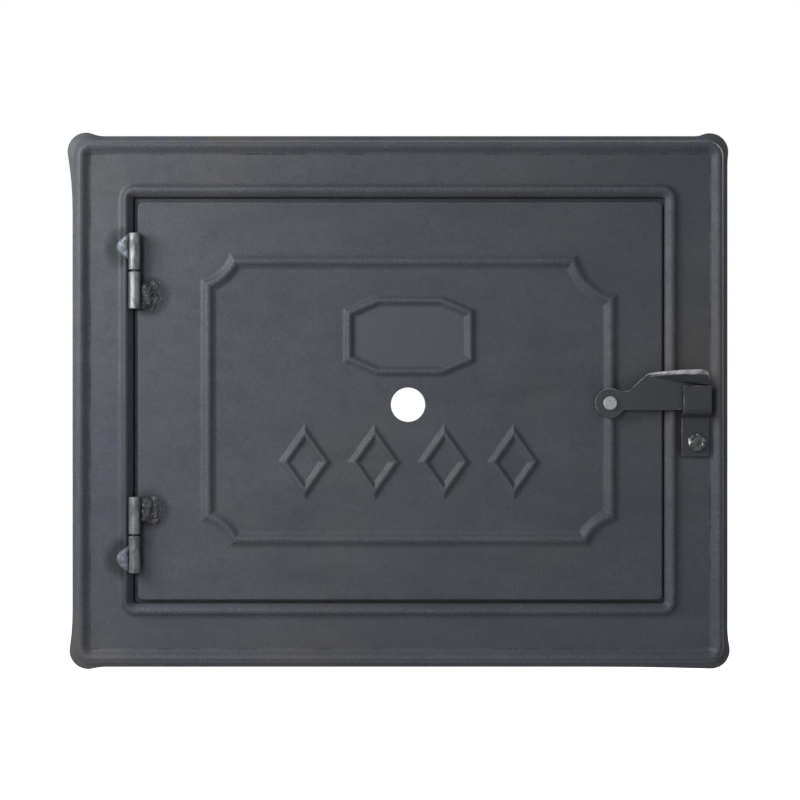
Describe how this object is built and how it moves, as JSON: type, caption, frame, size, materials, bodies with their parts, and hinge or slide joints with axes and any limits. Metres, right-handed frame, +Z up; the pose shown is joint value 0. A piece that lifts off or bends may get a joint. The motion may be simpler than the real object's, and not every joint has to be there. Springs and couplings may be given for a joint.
{
  "type": "stove door",
  "caption": "Pressed sheet steel stove door in a flanged wall frame, with weld-on barrel hinges, a round air hole and a lever latch that drops behind a strap keeper.",
  "frame": {"origin": "middle of the wall face, the plane that the back edge of the frame's rim stands on", "axes": "+X from the hinge side to the latch side, +Y into the wall, +Z up; -Y faces the user"},
  "size_m": [0.3336, 0.0661, 0.2702],
  "materials": {
    "frame_sheet": "bare dark sheet, lightly oiled",
    "door_sheet": "bare dark sheet, lightly oiled",
    "strap": "mill scale",
    "lever": "mill scale with bright sheared edges",
    "weld": "rough weld metal with heat tint",
    "barrel": "turned bright steel",
    "rivet": "bright flat end"
  },
  "bodies": {
    "frame": {"frame": "frame_sheet", "latch_keeper": "strap", "keeper_plug_weld": "weld", "upper_frame_knuckle": "barrel", "lower_frame_knuckle": "barrel", "upper_hinge_pin": "barrel", "lower_hinge_pin": "barrel", "upper_frame_weld": "weld", "lower_frame_weld": "weld", "upper_left_anchor": "strap", "upper_right_anchor": "strap", "lower_left_anchor": "strap", "lower_right_anchor": "strap"},
    "door": {"door_leaf": "door_sheet", "upper_door_knuckle": "barrel", "lower_door_knuckle": "barrel", "upper_door_weld": "weld", "lower_door_weld": "weld", "latch_pivot": "rivet", "latch_washer": "strap", "pivot_collar": "strap"},
    "latch": {"latch_lever": "lever"}
  },
  "joints": [
    {"name": "door_hinge", "type": "hinge", "parent": "frame", "child": "door", "pos_m": [-0.132, -0.0142, -0.0007], "axis": [0, 0, -1], "range_deg": [0, 170]},
    {"name": "latch_swing", "type": "hinge", "parent": "door", "child": "latch", "pos_m": [0.1043, -0.0148, -0.0008], "axis": [0, -1, 0], "range_deg": [0, 270]}
  ]
}
